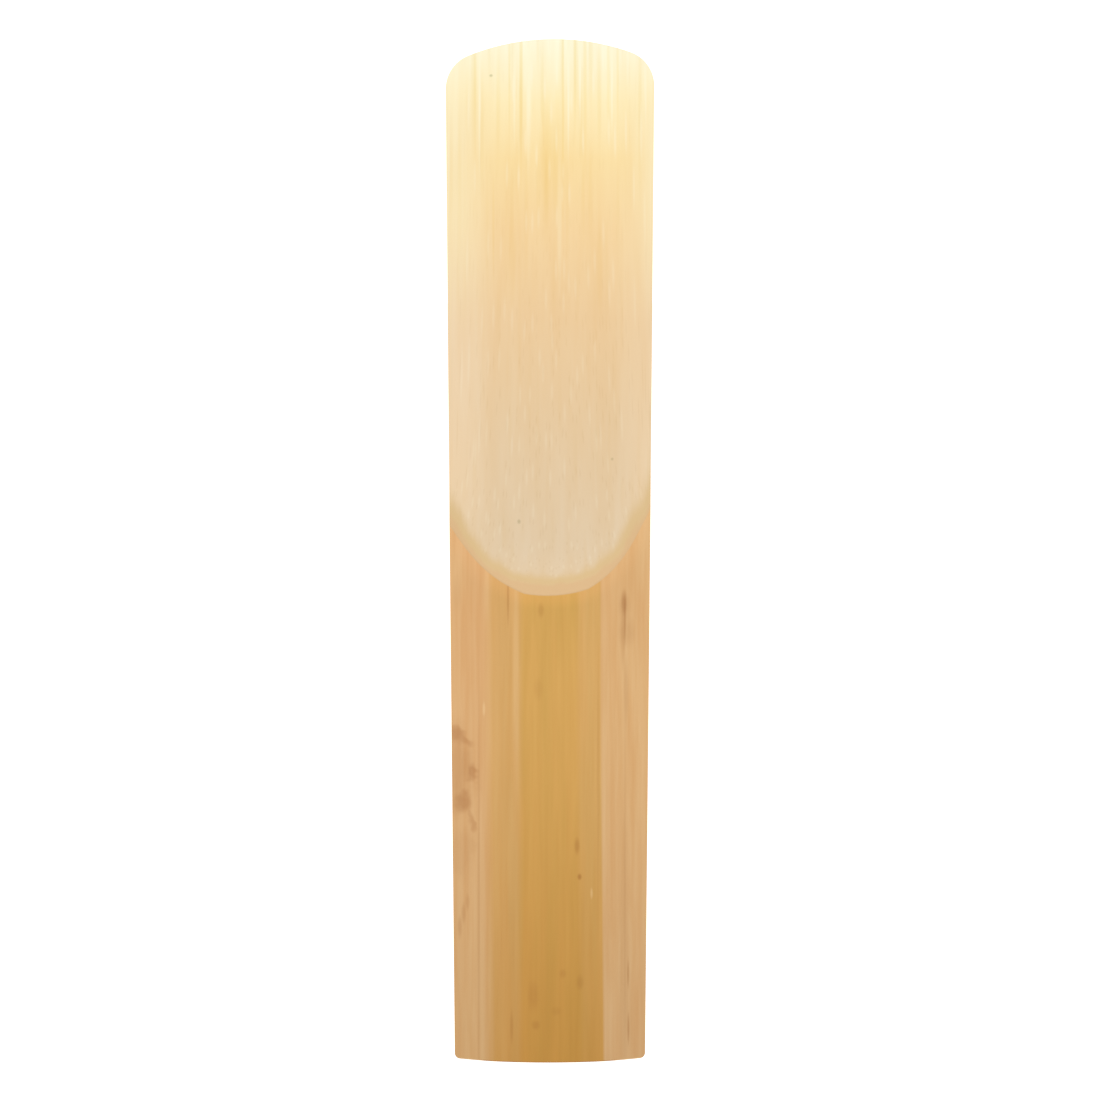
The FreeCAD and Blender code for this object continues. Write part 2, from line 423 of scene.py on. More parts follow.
# %% Node group: mark
mark_group, mark_in, mark_out = new_group(
    "mark",
    {"Across": "value", "Behind Tip": "value", "Centre Across": "value", "Centre Behind Tip": "value",
     "Half Width": "value", "Half Length": "value"},
    {"Mask": "value"},
)


def scaled_offset(tree, value, centre, half):
    """How far a value is from a centre, as a share of half a size."""
    return sum_node(tree, "DIVIDE", sum_node(tree, "SUBTRACT", value, centre), half)


mark_offset = join_vector(
    mark_group,
    scaled_offset(
        mark_group, mark_in.outputs["Across"], mark_in.outputs["Centre Across"], mark_in.outputs["Half Width"]
    ),
    scaled_offset(
        mark_group,
        mark_in.outputs["Behind Tip"],
        mark_in.outputs["Centre Behind Tip"],
        mark_in.outputs["Half Length"],
    ),
    0.0,
)
MARK_CORE = 0.2
mark_distance = mark_group.nodes.new("ShaderNodeVectorMath")
mark_distance.operation = "LENGTH"
mark_group.links.new(mark_offset, mark_distance.inputs[0])
outside_mark = fade(mark_group, mark_distance.outputs["Value"], MARK_CORE, 1.0)
feed(mark_group, mark_out.inputs["Mask"], inverse(mark_group, outside_mark))
print("group:", mark_group.name)


def add_marks(tree, colour, place, marks, ink, how="MULTIPLY"):
    """Lays a list of marks over a colour. A mark is its centre across and behind the tip, its half sizes,
    and how strongly it shows."""
    for across, behind_tip, half_width, half_length, strength in marks:
        mask = use_group(
            tree,
            mark_group,
            {
                "Across": place["Across"],
                "Behind Tip": place["Behind Tip"],
                "Centre Across": across,
                "Centre Behind Tip": behind_tip,
                "Half Width": half_width,
                "Half Length": half_length,
            },
        )["Mask"]
        colour = mix_colour(tree, sum_node(tree, "MULTIPLY", mask, strength), colour, ink, how)
    return colour


# %% [markdown]
# ## Inner cane
# The scraped face runs from cream at the tip, where light comes through the thin blade, to a pale pinkish
# tan at the back. The rails are thinner than the middle, so they are paler as well. Over that lie the
# streaks of cut fibres, bold and yellow near the tip, and finer and greyer at the back.

# %% Node group: inner cane
inner_group, inner_in, inner_out = new_group(
    "inner cane", {"Place": "vector"}, {"Color": "colour", "Height": "value"}
)
inner_place = use_group(inner_group, place_group, {"Place": inner_in.outputs["Place"]})
VAMP_TONES = [
    (0.0, tone(252, 248, 220)),
    (5.0, tone(252, 236, 189)),
    (9.5, tone(248, 222, 165)),
    (15.0, tone(243, 212, 160)),
    (22.0, tone(235, 203, 157)),
    (30.0, tone(229, 201, 161)),
    (40.0, tone(224, 201, 168)),
]
tone_ramp = inner_group.nodes.new("ShaderNodeValToRGB")
ramp_stops = tone_ramp.color_ramp.elements
ramp_stops[0].position, ramp_stops[0].color = 0.0, VAMP_TONES[0][1]
ramp_stops[1].position, ramp_stops[1].color = 1.0, VAMP_TONES[-1][1]
for distance, colour in VAMP_TONES[1:-1]:
    ramp_stops.new(distance / VAMP_TONES[-1][0]).color = colour
ramp_share = sum_node(inner_group, "DIVIDE", inner_place["Behind Tip"], VAMP_TONES[-1][0])
inner_group.links.new(ramp_share, tone_ramp.inputs["Fac"])
inner_colour = tone_ramp.outputs["Color"]
print("inner cane has", len(VAMP_TONES), "tones along the vamp")

# %% Paler rails
FRONT_RAIL_TONE = tone(249, 233, 192)
BACK_RAIL_TONE = tone(239, 214, 179)
RAIL_CENTRE = 0.8
RAIL_FROM_CENTRE = (4.2, 8.4)
RAIL_STARTS = (2.0, 8.0)
RAIL_TURNS_TAN = (13.0, 25.0)
RAIL_ENDS = (32.0, 44.0)
RAIL_STRENGTH = 0.8
from_centre = sum_node(inner_group, "SUBTRACT", inner_place["Across"], RAIL_CENTRE)
rail_edge = fade(inner_group, sum_node(inner_group, "ABSOLUTE", from_centre), *RAIL_FROM_CENTRE)
rail_front = fade(inner_group, inner_place["Behind Tip"], *RAIL_STARTS)
rail_back = fade(inner_group, inner_place["Behind Tip"], *RAIL_TURNS_TAN)
rail_end = inverse(inner_group, fade(inner_group, inner_place["Behind Tip"], *RAIL_ENDS))
rail_tone = mix_colour(inner_group, rail_back, FRONT_RAIL_TONE, BACK_RAIL_TONE)
rail_length = sum_node(inner_group, "MULTIPLY", rail_front, rail_end)
rail_mask = sum_node(inner_group, "MULTIPLY", rail_edge, rail_length)
rail_weight = sum_node(inner_group, "MULTIPLY", rail_mask, RAIL_STRENGTH)
inner_colour = mix_colour(inner_group, rail_weight, inner_colour, rail_tone)
print("the rails start to turn paler", RAIL_FROM_CENTRE[0], "mm off the middle")

# %% Streaks of cut fibres
def fibres(tree, place, spacing, size, flatness, share, seed):
    """The mask of one kind of cut fibre. Sizes are in millimetres."""
    return use_group(
        tree,
        fibre_group,
        {
            "Across": place["Across"],
            "Behind Tip": place["Behind Tip"],
            "Height": place["Height"],
            "Spacing": spacing,
            "Size": size,
            "Flatness": flatness,
            "Share": share,
            "Seed": seed,
        },
    )["Mask"]


def lay_over(tree, mask, weight, colour, ink, how="MIX"):
    """The colour with an ink laid over it where the mask is."""
    return mix_colour(tree, sum_node(tree, "MULTIPLY", mask, weight), colour, ink, how)


NEAR_TIP = (3.0, 19.0)
NEAR_BACK = (12.0, 34.0)
BUNDLE_INK = tone(249, 243, 224)
PALE_INK = tone(255, 250, 228)
FLECK_INK = tone(241, 236, 226)
near_tip = inverse(inner_group, fade(inner_group, inner_place["Behind Tip"], *NEAR_TIP))
near_back = fade(inner_group, inner_place["Behind Tip"], *NEAR_BACK)
bundle_mask = fibres(inner_group, inner_place, spacing=0.62, size=0.24, flatness=1.0, share=0.75, seed=3.0)
bundle_weight = scaled(inner_group, near_tip, scale=0.35, base=0.15)
inner_colour = lay_over(inner_group, bundle_mask, bundle_weight, inner_colour, BUNDLE_INK, "MULTIPLY")
pale_mask = fibres(inner_group, inner_place, spacing=0.5, size=0.15, flatness=2.4, share=0.5, seed=11.0)
pale_weight = scaled(inner_group, near_tip, scale=0.15, base=0.1)
inner_colour = lay_over(inner_group, pale_mask, pale_weight, inner_colour, PALE_INK)
fleck_mask = fibres(inner_group, inner_place, spacing=0.26, size=0.10, flatness=3.0, share=0.3, seed=23.0)
fleck_weight = scaled(inner_group, near_back, scale=0.2, base=0.12)
inner_colour = lay_over(inner_group, fleck_mask, fleck_weight, inner_colour, FLECK_INK, "MULTIPLY")
print("three kinds of cut fibre on the inner cane")

# %% Marks on the vamp
# Bold streaks run back from the tip, some darker and some paler than the cane, and fade out over 8 to 15 mm.
# The wide ones only tint the cane, such as the pale one at the tip's left corner.
YELLOW_STREAKS = [
    (-5.88, 1.5, 0.16, 11.0, 0.9),
    (-3.20, 0.5, 0.13, 12.0, 0.8),
    (-2.28, 1.0, 0.20, 14.0, 1.0),
    (-0.20, 9.0, 0.80, 6.5, 0.9),
    (0.75, 8.5, 0.70, 9.0, 0.6),
    (1.02, 2.0, 0.14, 14.0, 0.9),
    (1.95, 0.5, 0.16, 10.0, 0.9),
    (2.75, 2.5, 0.22, 9.0, 0.9),
    (4.58, 2.0, 0.18, 10.0, 0.7),
    (5.32, 1.0, 0.14, 9.0, 0.8),
    (-4.45, 14.5, 0.16, 6.0, 0.6),
    (-3.0, 17.5, 0.45, 5.0, 0.5),
    (3.9, 18.0, 0.35, 5.5, 0.5),
]
PALE_STREAKS = [
    (-5.55, 4.0, 0.12, 8.0, 0.6),
    (-2.80, 1.0, 0.18, 9.0, 0.7),
    (-1.70, 3.0, 0.30, 9.0, 0.6),
    (0.35, 0.5, 0.25, 5.0, 0.4),
    (1.45, 2.0, 0.15, 9.0, 0.8),
    (2.36, 0.5, 0.14, 8.0, 1.0),
    (4.87, 1.0, 0.13, 8.0, 0.8),
    (0.75, 14.0, 0.25, 8.0, 0.2),
    (-7.7, 3.0, 1.1, 8.0, 0.35),
]
SPECKS = [
    (-4.64, 2.9, 0.20, 0.16, 0.9),
    (4.87, 33.1, 0.16, 0.18, 0.6),
    (-2.42, 38.0, 0.20, 0.26, 0.7),
]
YELLOW_STREAK_INK = tone(252, 247, 232)
PALE_STREAK_TONE = tone(254, 247, 216)
SPECK_INK = tone(214, 218, 205)
inner_colour = add_marks(inner_group, inner_colour, inner_place, YELLOW_STREAKS, YELLOW_STREAK_INK)
inner_colour = add_marks(inner_group, inner_colour, inner_place, PALE_STREAKS, PALE_STREAK_TONE, "MIX")
inner_colour = add_marks(inner_group, inner_colour, inner_place, SPECKS, SPECK_INK)
print("marks on the vamp:", len(YELLOW_STREAKS + PALE_STREAKS + SPECKS))

# %% Grain and the height for the bump
broad_cane = grain(inner_group, inner_in.outputs["Place"], lines=0.8, stretch=16.0, seed=15.0)
fine_cane = grain(inner_group, inner_in.outputs["Place"], lines=3.0, stretch=25.0, seed=5.0)
CANE_GRAIN_INK = tone(252, 247, 238)
fine_amount = scaled(inner_group, fine_cane, scale=0.2, base=0.45)
grain_amount = scaled(inner_group, broad_cane, scale=0.5, base=fine_amount)
inner_colour = mix_colour(inner_group, grain_amount, inner_colour, CANE_GRAIN_INK, "MULTIPLY")
feed(inner_group, inner_out.inputs["Color"], inner_colour)
BUNDLE_RISE = 0.5
FINE_RISE = 0.3
fine_height = sum_node(inner_group, "MULTIPLY", fine_cane, FINE_RISE)
inner_height = scaled(inner_group, bundle_mask, BUNDLE_RISE, fine_height)
feed(inner_group, inner_out.inputs["Height"], inner_height)
print("group:", inner_group.name)

# %% [markdown]
# ## The outside of the stock
# The middle strip of the stock is the bark as it grew, golden and waxy. Bark and planed sides alike are made
# darker towards the heel. On both sides a plane has taken off a thin shaving, so the paler and pinker cortex
# shows, with fine dark lines where the plane crossed denser fibre. A brown water stain lies on the left edge.

# %% Node group: outside of the stock
stock_group, stock_in, stock_out = new_group(
    "outside of the stock", {"Place": "vector"}, {"Color": "colour", "Height": "value", "Planed": "value"}
)
stock_place = use_group(stock_group, place_group, {"Place": stock_in.outputs["Place"]})


def grained(colour, grain_value, swing, middle, ink):
    """A colour multiplied by an ink whose weight swings about a middle with the grain."""
    return mix_colour(stock_group, scaled(stock_group, grain_value, swing, middle), colour, ink, "MULTIPLY")


TOWARDS_HEEL = (48.0, 86.0)
BARK_FRONT_TONE, BARK_HEEL_TONE = tone(215, 165, 85), tone(195, 140, 57)
OLIVE_INK = tone(246, 249, 240)
BARK_GRAIN_INK = tone(250, 246, 240)
to_heel = fade(stock_group, stock_place["Behind Tip"], *TOWARDS_HEEL)
olive_grain = grain(stock_group, stock_in.outputs["Place"], lines=0.8, stretch=12.0, seed=1.0)
fine_bark = grain(stock_group, stock_in.outputs["Place"], lines=3.5, stretch=30.0, seed=8.0)
bark_colour = mix_colour(stock_group, to_heel, BARK_FRONT_TONE, BARK_HEEL_TONE)
bark_colour = grained(bark_colour, olive_grain, swing=0.9, middle=0.45, ink=OLIVE_INK)
bark_colour = grained(bark_colour, fine_bark, swing=0.45, middle=0.4, ink=BARK_GRAIN_INK)
print("bark tones ready")

# %% Tones of the planed sides
MIDDLE_BLUR = 0.5
LEFT_FRONT_TONE, LEFT_HEEL_TONE = tone(223, 177, 123), tone(209, 170, 119)
RIGHT_FRONT_TONE, RIGHT_HEEL_TONE = tone(222, 180, 126), tone(206, 166, 117)
PINK_INK = tone(250, 242, 232)
PLANED_GRAIN_INK = tone(249, 243, 234)
right_side = fade(stock_group, stock_place["Across"], -MIDDLE_BLUR, MIDDLE_BLUR)
pink_grain = grain(stock_group, stock_in.outputs["Place"], lines=1.1, stretch=14.0, seed=4.0)
planed_front = mix_colour(stock_group, right_side, LEFT_FRONT_TONE, RIGHT_FRONT_TONE)
planed_heel = mix_colour(stock_group, right_side, LEFT_HEEL_TONE, RIGHT_HEEL_TONE)
planed_colour = mix_colour(stock_group, to_heel, planed_front, planed_heel)
planed_colour = grained(planed_colour, pink_grain, swing=0.9, middle=0.4, ink=PINK_INK)
planed_colour = grained(planed_colour, fine_bark, swing=0.45, middle=0.47, ink=PLANED_GRAIN_INK)
print("planed tones ready")

# %% From bark to the planed sides
# Each side starts with a strip where the bark is only planed thin. The left one fades in more slowly, and
# the right one moves outwards a little on the way to the heel.
LEFT_THIN_FROM, LEFT_PLANED_FROM, LEFT_BLUR = 2.3, 4.5, 0.8
RIGHT_THIN_FROM, RIGHT_PLANED_FROM, RIGHT_BLUR = 2.2, 3.9, 0.15
THIN_BLUR = 0.35
RIGHT_SLANT = 0.3


def planed_beyond(outward, edge, blur):
    """0 inside an edge and 1 outside it, with a soft change."""
    return fade(stock_group, outward, edge - blur, edge + blur)


def planed_thin(outward, edge, weight):
    """The share of planed cane that shows where the bark is only thin."""
    return sum_node(stock_group, "MULTIPLY", planed_beyond(outward, edge, THIN_BLUR), weight)


to_left = sum_node(stock_group, "MULTIPLY", stock_place["Across"], -1.0)
to_right = scaled(stock_group, to_heel, -RIGHT_SLANT, stock_place["Across"])
left_thin_weight = scaled(stock_group, to_heel, scale=-0.28, base=0.48)
right_thin_weight = scaled(stock_group, to_heel, scale=-0.26, base=0.33)
left_thin = planed_thin(to_left, LEFT_THIN_FROM, left_thin_weight)
right_thin = planed_thin(to_right, RIGHT_THIN_FROM, right_thin_weight)
left_planed = planed_beyond(to_left, LEFT_PLANED_FROM, LEFT_BLUR)
right_planed = planed_beyond(to_right, RIGHT_PLANED_FROM, RIGHT_BLUR)
left_share = sum_node(stock_group, "MAXIMUM", left_thin, left_planed)
right_share = sum_node(stock_group, "MAXIMUM", right_thin, right_planed)
planed_share = sum_node(stock_group, "MAXIMUM", left_share, right_share)
feed(stock_group, stock_out.inputs["Planed"], planed_share)
stock_colour = mix_colour(stock_group, planed_share, bark_colour, planed_colour)
print("planed from", LEFT_PLANED_FROM, "mm left and", RIGHT_PLANED_FROM, "mm right of the middle")

# %% Lines and spots on the stock
# The wide and weak ones are soft shades rather than lines.
DARK_LINES = [
    (-5.55, 68.0, 0.16, 26.0, 0.35),
    (5.85, 66.0, 0.14, 22.0, 0.2),
    (5.80, 72.0, 0.6, 15.0, 0.22),
    (5.94, 51.3, 0.28, 3.4, 0.35),
    (5.70, 47.0, 0.26, 3.4, 0.35),
    (5.78, 44.3, 0.32, 1.3, 0.65),
    (5.85, 45.6, 0.13, 2.6, 0.5),
    (5.80, 44.6, 0.65, 1.6, 0.35),
    (6.0, 46.6, 0.9, 1.6, 0.3),
    (6.10, 73.3, 0.13, 1.5, 0.6),
    (6.12, 77.6, 0.13, 1.7, 0.7),
    (-3.26, 44.0, 0.14, 2.8, 0.6),
    (-2.98, 77.3, 0.20, 1.8, 0.4),
    (-7.3, 43.5, 0.5, 2.0, 0.2),
    (3.75, 58.0, 0.18, 14.0, 0.25),
    (6.6, 45.0, 1.8, 7.0, 0.12),
]
SPOTS = [
    (2.10, 63.2, 0.30, 0.9, 0.6),
    (2.30, 65.6, 0.24, 0.35, 0.9),
    (-0.70, 44.9, 0.35, 0.8, 0.4),
    (-0.90, 51.0, 0.5, 1.2, 0.2),
    (-1.10, 77.1, 0.45, 0.5, 0.35),
    (-1.30, 74.8, 0.6, 1.6, 0.3),
    (1.00, 73.1, 0.4, 0.5, 0.3),
    (2.33, 73.8, 0.4, 0.8, 0.35),
    (0.50, 76.0, 0.6, 0.5, 0.2),
]
LINE_INK = tone(222, 205, 186)
stock_colour = add_marks(stock_group, stock_colour, stock_place, DARK_LINES + SPOTS, LINE_INK)
print("lines and spots on the stock:", len(DARK_LINES + SPOTS))

# %% Light lines along the stock
LIGHT_LINES = [
    (-2.64, 50.0, 0.38, 12.0, 0.22),
    (-4.95, 50.0, 0.8, 16.0, 0.12),
    (-7.3, 42.0, 1.0, 3.5, 0.15),
    (-5.15, 52.6, 0.16, 0.8, 0.4),
    (3.23, 66.9, 0.14, 0.6, 0.3),
]
LIGHT_LINE_TONE = tone(240, 205, 150)
stock_colour = add_marks(stock_group, stock_colour, stock_place, LIGHT_LINES, LIGHT_LINE_TONE, "MIX")
print("light lines on the stock:", len(LIGHT_LINES))

# %% The water stain on the left edge
# Its outline wanders, so the marks are laid out on a place that noise has shifted a little. A slanting
# scratch below it is laid on the true place.
STAIN_SHIFT = 0.9
STAIN_WAVES = 0.7
STAIN_DETAIL = 2.0
STOCK_GRAIN_RISE = 0.4
stain_noise = stock_group.nodes.new("ShaderNodeTexNoise")
stain_noise.inputs["Scale"].default_value = STAIN_WAVES / MM
stain_noise.inputs["Detail"].default_value = STAIN_DETAIL
stock_group.links.new(stock_in.outputs["Place"], stain_noise.inputs["Vector"])
stain_split = stock_group.nodes.new("ShaderNodeSeparateColor")
stock_group.links.new(stain_noise.outputs["Color"], stain_split.inputs[0])


def shifted(value, noise):
    """A value that noise has moved by up to the stain's shift, each way."""
    centred_noise = sum_node(stock_group, "SUBTRACT", noise, 0.5)
    return scaled(stock_group, centred_noise, STAIN_SHIFT * 2, value)


stain_place = {
    "Across": shifted(stock_place["Across"], stain_split.outputs["Red"]),
    "Behind Tip": shifted(stock_place["Behind Tip"], stain_split.outputs["Green"]),
}
STAIN = [
    (-7.4, 57.4, 2.2, 4.8, 0.6),
    (-7.1, 54.7, 1.0, 0.7, 0.8),
    (-6.4, 55.3, 0.9, 0.6, 0.6),
    (-6.1, 57.6, 0.5, 1.1, 0.8),
    (-6.7, 60.0, 1.1, 1.0, 0.8),
    (-6.1, 61.4, 0.45, 1.3, 0.7),
    (-6.9, 64.0, 1.3, 3.0, 0.3),
]
SCRATCH = [
    (-6.45, 67.7, 0.25, 0.9, 0.4),
    (-6.75, 68.6, 0.25, 1.1, 0.5),
    (-7.05, 69.7, 0.25, 1.2, 0.5),
]
STAIN_INK = tone(229, 214, 200)
stock_colour = add_marks(stock_group, stock_colour, stain_place, STAIN, STAIN_INK)
stock_colour = add_marks(stock_group, stock_colour, stock_place, SCRATCH, STAIN_INK)
feed(stock_group, stock_out.inputs["Color"], stock_colour)
stock_height = sum_node(stock_group, "MULTIPLY", fine_bark, STOCK_GRAIN_RISE)
feed(stock_group, stock_out.inputs["Height"], stock_height)
print("marks in the stain and its scratch:", len(STAIN + SCRATCH))

# %% [markdown]
# ## The layers of the wall
# This group puts the layers together by depth. On the scraped face the cortex and the ring of fibre come
# out as two narrow bands round the end of the vamp, pinkish outside and yellow inside. Their edges are
# soft and wander a little, because one tissue grows into the next. The cut leaves the bark right behind it
# a little lighter. The sawn heel end shows the layers too, under a thin brown line of bark.

# %% Node group: cane
cane_group, cane_in, cane_out = new_group(
    "cane", {"Place": "vector"}, {"Color": "colour", "Height": "value", "Bare": "value", "Heel End": "value"}
)
cane_place = use_group(cane_group, place_group, {"Place": cane_in.outputs["Place"]})
cane_face = use_group(
    cane_group, face_group, {name: cane_place[name] for name in ("Across", "Behind Tip", "Height")}
)
inner = use_group(cane_group, inner_group, {"Place": cane_in.outputs["Place"]})
outside_stock = use_group(cane_group, stock_group, {"Place": cane_in.outputs["Place"]})
CORTEX_TONE = tone(216, 179, 131)
RING_TONE = tone(217, 186, 136)
LAYER_WANDER = 0.06
# Depths under the bark where one layer goes over to the next.
CORTEX_TO_RING = (0.24, 0.38)
RING_TO_CANE = (0.38, 0.64)
depth = cane_place["Under Bark"]
layer_grain = grain(cane_group, cane_in.outputs["Place"], lines=0.9, stretch=6.0, seed=19.0)
layer_depth = scaled(cane_group, layer_grain, LAYER_WANDER, depth)
to_ring = fade(cane_group, layer_depth, *CORTEX_TO_RING)
to_cane = fade(cane_group, layer_depth, *RING_TO_CANE)
band_colour = mix_colour(cane_group, to_ring, CORTEX_TONE, RING_TONE)
cut_colour = mix_colour(cane_group, to_cane, band_colour, inner["Color"])
print("layers under the bark: cortex, ring of fibre and inner cane")

# %% The outside of the stock, and its edge beside the cut
# These inks are a little brighter than white, so multiplying by them lightens.
CUT_BARK_INK = tone(268, 264, 268)
CUT_PLANED_INK = tone(262, 261, 262)
cut_edge_ink = mix_colour(cane_group, outside_stock["Planed"], CUT_BARK_INK, CUT_PLANED_INK)
BESIDE_CUT = (0.05, 0.65)
CUT_EDGE_STRENGTH = 0.9
# Points deeper than this aren't on the outside of the tube, but on a side or the table.
OUTSIDE_DEPTH = (0.31, 0.42)
by_cut = inverse(cane_group, fade(cane_group, cane_face["Below Face"], *BESIDE_CUT))
outside_colour = lay_over(
    cane_group, by_cut, CUT_EDGE_STRENGTH, outside_stock["Color"], cut_edge_ink, "MULTIPLY"
)
grown_colour = mix_colour(cane_group, fade(cane_group, depth, *OUTSIDE_DEPTH), outside_colour, cut_colour)
cane_colour = mix_colour(cane_group, cane_face["Scraped"], grown_colour, cut_colour)
bare = sum_node(cane_group, "MAXIMUM", outside_stock["Planed"], cane_face["Scraped"])
feed(cane_group, cane_out.inputs["Bare"], bare)
print("the bark is lighter up to", BESIDE_CUT[1], "mm below the cut")

# %% The sawn heel end, and the outputs
SAWN_BARK_TONE = tone(172, 118, 62)
SAWN_BARK_DEPTH = (0.06, 0.14)
HEEL_END = (LENGTH - 0.1, LENGTH - 0.02)
heel_end = fade(cane_group, cane_place["Behind Tip"], *HEEL_END)
under_sawn_bark = fade(cane_group, depth, *SAWN_BARK_DEPTH)
sawn_colour = mix_colour(cane_group, under_sawn_bark, SAWN_BARK_TONE, cut_colour)
cane_colour = mix_colour(cane_group, heel_end, cane_colour, sawn_colour)
feed(cane_group, cane_out.inputs["Color"], cane_colour)
cane_height = sum_node(cane_group, "ADD", inner["Height"], outside_stock["Height"])
feed(cane_group, cane_out.inputs["Height"], cane_height)
feed(cane_group, cane_out.inputs["Heel End"], heel_end)
print("group:", cane_group.name)

# %% [markdown]
# ## Materials
# One rule makes the material of every layer, because they are one piece of cane. They differ in gloss. The
# bark shines a little with its natural wax, planed cane is silky, and the inner cane is matte. Bark and
# cortex meet along the planed sides, so on these two the gloss follows the planing, and not the layer.
#
# The frame's own solids can read their place from object coordinates. Each point of the blade's meshes
# carries its resting place as an attribute, so that the pattern would stay on the cane if the blade moved.

# %% Make the materials
SAWN_FIBRE_INK = tone(228, 205, 172)
WAXY_ROUGHNESS, BARE_ROUGHNESS = 0.42, 0.55
FIBRE_ROUGHNESS, CANE_ROUGHNESS = 0.62, 0.68
WAXY_COAT, BARE_COAT = 0.15, 0.05
COAT_ROUGHNESS = 0.3
SPECULAR_LEVEL = 0.3
BUMP_STRENGTH = 0.3
BUMP_HEIGHT = 0.02


def cane_material(name, roughness, coat=0.0, place_name=None, sawn_ink=None, waxy=False):
    """The finish of one layer. place_name is the attribute that holds the resting place, if there is one,
    sawn_ink darkens the layer on the heel's end, and a waxy layer keeps its gloss where it isn't bare."""
    material = bpy.data.materials.new(name)
    material.use_nodes = True
    tree = material.node_tree
    shader = tree.nodes["Principled BSDF"]
    if place_name:
        source = tree.nodes.new("ShaderNodeAttribute")
        source.attribute_name = place_name
        place = source.outputs["Vector"]
    else:
        place = tree.nodes.new("ShaderNodeTexCoord").outputs["Object"]
    cane = use_group(tree, cane_group, {"Place": place})
    bump = tree.nodes.new("ShaderNodeBump")
    bump.inputs["Strength"].default_value = BUMP_STRENGTH
    bump.inputs["Distance"].default_value = BUMP_HEIGHT * MM
    feed(tree, bump.inputs["Height"], cane["Height"])
    feed(tree, shader.inputs["Normal"], bump.outputs["Normal"])
    colour = cane["Color"]
    if sawn_ink:
        colour = mix_colour(tree, cane["Heel End"], colour, sawn_ink, "MULTIPLY")
    feed(tree, shader.inputs["Base Color"], colour)
    shader.inputs["Roughness"].default_value = roughness
    shader.inputs["Coat Weight"].default_value = coat
    shader.inputs["Coat Roughness"].default_value = COAT_ROUGHNESS
    shader.inputs["Specular IOR Level"].default_value = SPECULAR_LEVEL
    if waxy:
        mixed_roughness = scaled(tree, cane["Bare"], BARE_ROUGHNESS - WAXY_ROUGHNESS, WAXY_ROUGHNESS)
        mixed_coat = scaled(tree, cane["Bare"], BARE_COAT - WAXY_COAT, WAXY_COAT)
        feed(tree, shader.inputs["Roughness"], mixed_roughness)
        feed(tree, shader.inputs["Coat Weight"], mixed_coat)
    return material


REST_PLACE = "rest_place"
finishes = {
    "bark": cane_material("waxy bark", WAXY_ROUGHNESS, WAXY_COAT, waxy=True),
    "cortex": cane_material("planed cortex", BARE_ROUGHNESS, BARE_COAT, waxy=True),
    "fibre_ring": cane_material("ring of fibre", FIBRE_ROUGHNESS),
    "cane": cane_material("inner cane", CANE_ROUGHNESS),
    "fibre_bundle": cane_material("fibre bundles", FIBRE_ROUGHNESS, sawn_ink=SAWN_FIBRE_INK),
}
blade_finish = cane_material("scraped cane", CANE_ROUGHNESS, place_name=REST_PLACE)
print("materials:", ", ".join(m.name for m in [*finishes.values(), blade_finish]))

# %% Put them on the frame's own solids
slots = {part["node"]: part["material_slot"] for part in frame["record"]["subparts"]}
for name, node in nodes.items():
    for index in range(len(node.data.materials)):
        node.data.materials[index] = finishes[slots[name]]
print("finished nodes:", len(nodes))

# %% [markdown]
# ## The blade
# The mouthpiece's facing curves away from the reed, and the reed bends to it over its last 25 mm. The frame
# does this with three hinges that turn together. Three meshes take the place of its stiff pieces, each with
# one hinge in the middle or at its start. They are made here in their resting shape.
#
# Each mesh is a grid over the blade's outline: straight columns from back to front that end on the arched
# tip, with more columns near the rails, where the corner is round. The top follows the rule of the vamp, and
# the bottom is the flat table.

# %% Outline of the tip
ARC_RADIUS = 18.0
ARC_OFFSET = 0.33
CORNER_RADIUS = 2.8
CORNER_STEPS = 5
COLUMN_COUNT = 96


def half_width(along):
    """Half the reed's width where its sides are straight."""
    return (HEEL_WIDTH + (TIP_WIDTH - HEEL_WIDTH) * (along + LENGTH / 2) / LENGTH) / 2


arc_centre = LENGTH / 2 - ARC_RADIUS


def corner_centre(side):
    """Middle of the round corner on one side, which touches the tip's arc and the straight side. The side
    slants, so a few steps close in on it."""
    along = arc_centre
    for _ in range(CORNER_STEPS):
        across = side * (half_width(along) - CORNER_RADIUS)
        along = arc_centre + math.sqrt((ARC_RADIUS - CORNER_RADIUS) ** 2 - (across - ARC_OFFSET) ** 2)
    return across, along


def tip_edge(across):
    """Where the arched tip and its round corners lie along the reed."""
    edge = arc_centre + np.sqrt(ARC_RADIUS**2 - (across - ARC_OFFSET) ** 2)
    for side in (-1, 1):
        corner_across, corner_along = corner_centre(side)
        touch = ARC_OFFSET + (corner_across - ARC_OFFSET) * ARC_RADIUS / (ARC_RADIUS - CORNER_RADIUS)
        past_corner = np.clip(side * (across - corner_across), 0, CORNER_RADIUS)
        on_corner = corner_along + np.sqrt(CORNER_RADIUS**2 - past_corner**2)
        edge = np.where(side * (across - touch) > 0, on_corner, edge)
    return edge


column_shares = np.sin(np.linspace(-math.pi / 2, math.pi / 2, COLUMN_COUNT + 1))
print(f"the tip is rounded to {ARC_RADIUS:.0f} mm and its corners to {CORNER_RADIUS} mm")

# %% Make one stretch of the blade
SHARP_FROM = 35.0


def blade_row(distance):
    """Places across and along the reed of one row of points, which is the arched tip's edge at distance 0."""
    if distance == 0:
        across = column_shares * half_width(corner_centre(1)[1])
        return across, tip_edge(across)
    along = LENGTH / 2 - distance
    return column_shares * half_width(along), np.full(COLUMN_COUNT + 1, along)


